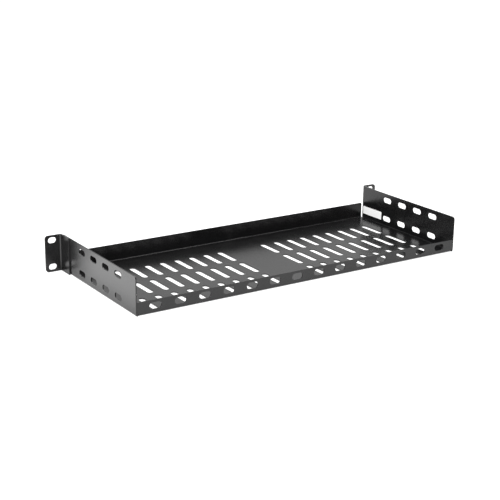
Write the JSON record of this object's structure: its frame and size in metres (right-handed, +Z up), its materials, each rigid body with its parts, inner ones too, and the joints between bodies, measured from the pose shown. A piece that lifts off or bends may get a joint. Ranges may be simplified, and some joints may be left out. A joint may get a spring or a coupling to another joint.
{
  "type": "cantilever rack shelf",
  "caption": "Shallow cantilever rack shelf: a folded steel tray with a slotted deck, pierced side walls and rear lip, low front wall and slotted rack ears.",
  "frame": {"origin": "centre of the four ear slots, on the ears' back face, which seats on the rack rails", "axes": "+X to the right seen from the front of the rack, +Y back into the rack, +Z up"},
  "size_m": [0.4826, 0.181, 0.0436],
  "materials": {
    "powder_coat": "black powder coat, semi-gloss, fine texture",
    "label_paper": "plain white paper label, matt"
  },
  "bodies": {
    "root": {"tray": "powder_coat", "ear_left": "powder_coat", "ear_right": "powder_coat"}
  },
  "joints": []
}
